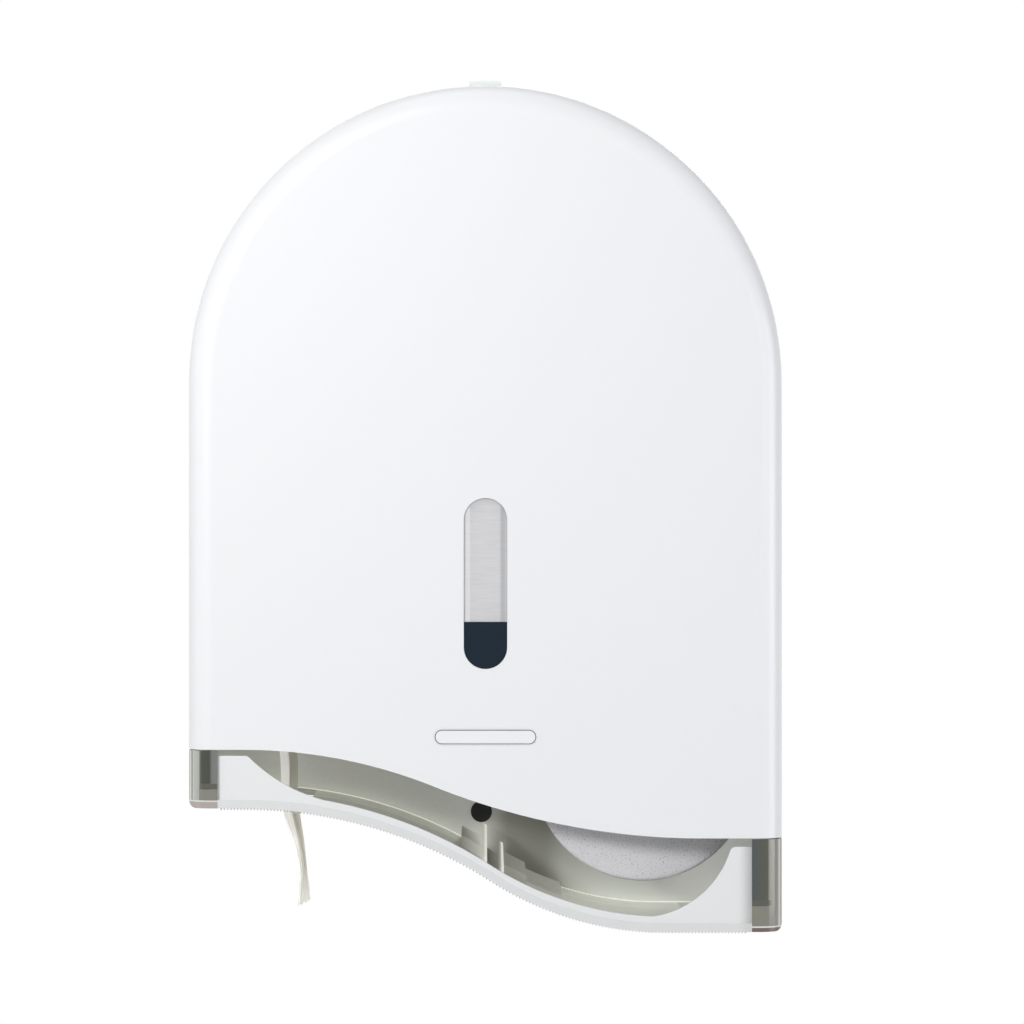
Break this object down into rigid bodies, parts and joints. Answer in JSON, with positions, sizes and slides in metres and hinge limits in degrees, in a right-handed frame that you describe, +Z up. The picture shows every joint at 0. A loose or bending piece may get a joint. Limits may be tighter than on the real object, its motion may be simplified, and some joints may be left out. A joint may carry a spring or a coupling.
{
  "type": "jumbo toilet roll dispenser",
  "caption": "Wall dispenser for jumbo toilet rolls: dome-topped hinged cover with push-button latch, smoky tray, wavy tear edge, main and stub rolls.",
  "frame": {"origin": "centre of the dome on the wall plane, which is the centre of the four wall holes", "axes": "+Z up the wall, +Y into the wall, so the front faces -Y, and +X to the right seen from the front"},
  "size_m": [0.2866, 0.13, 0.4225],
  "materials": {
    "white_plastic": "smooth moulded, satin gloss",
    "grey_plastic": "matt moulded",
    "smoky_plastic": "translucent smoky, gloss",
    "olive_plastic": "matt moulded",
    "black_plastic": "matt",
    "pale_plastic": "matt moulded",
    "dark_plastic": "matt moulded",
    "navy_plastic": "satin",
    "clear_green": "translucent",
    "clear_lens": "clear, polished",
    "label": "smooth, blank",
    "steel": "plain zinc-plated",
    "card": "grey-brown card",
    "paper": "soft tissue paper"
  },
  "bodies": {
    "housing": {"back_plate": "grey_plastic", "lower_tray": "smoky_plastic", "apron": "white_plastic", "tear_strip": "steel", "guide_bridge": "olive_plastic", "hole_plug": "black_plastic", "main_axle": "pale_plastic", "stub_axle": "pale_plastic", "main_axle_cap": "dark_plastic", "stub_axle_cap": "dark_plastic", "keeper_post": "olive_plastic", "hinge_block": "clear_green", "hinge_pin": "steel", "hinge_screws": "steel", "axle_screws": "steel", "cap_screws": "steel", "keeper_screws": "steel", "tray_screws": "steel", "apron_screws": "steel", "paper_tail": "paper"},
    "cover": {"front_cover": "white_plastic", "window_lens": "clear_lens", "label_plate": "label", "lock_carrier": "pale_plastic", "carrier_screws": "steel", "latch_pin": "steel", "button_spring": "steel"},
    "button": {"lock_button": "navy_plastic"},
    "latch": {"latch_hook": "dark_plastic"},
    "main_reel": {"main_carrier": "pale_plastic", "main_core": "card", "main_roll": "paper"},
    "stub_reel": {"stub_carrier": "pale_plastic", "stub_core": "card", "stub_roll": "paper"}
  },
  "joints": [
    {"name": "cover_hinge", "type": "hinge", "parent": "housing", "child": "cover", "pos_m": [0, -0.009, 0.1493], "axis": [-1, 0, 0], "range_deg": [0, 95]},
    {"name": "button_press", "type": "slide", "parent": "cover", "child": "button", "axis": [0, 1, 0], "range_m": [0, 0.003], "stiffness_N_per_m": 600, "springref_m": -0.002, "deforming": ["button_spring"]},
    {"name": "latch_pivot", "type": "hinge", "parent": "cover", "child": "latch", "pos_m": [0, -0.117, -0.15], "axis": [-1, 0, 0], "range_deg": [0, 17.3]},
    {"name": "main_reel_spin", "type": "hinge", "parent": "housing", "child": "main_reel", "pos_m": [0, 0, 0], "axis": [0, -1, 0], "continuous": true},
    {"name": "stub_reel_spin", "type": "hinge", "parent": "housing", "child": "stub_reel", "pos_m": [0.07651, 0, -0.18911], "axis": [0, -1, 0], "continuous": true}
  ],
  "couplings": [
    {"joint": "latch_pivot", "follows": "button_press", "rad_per_m": 100}
  ]
}
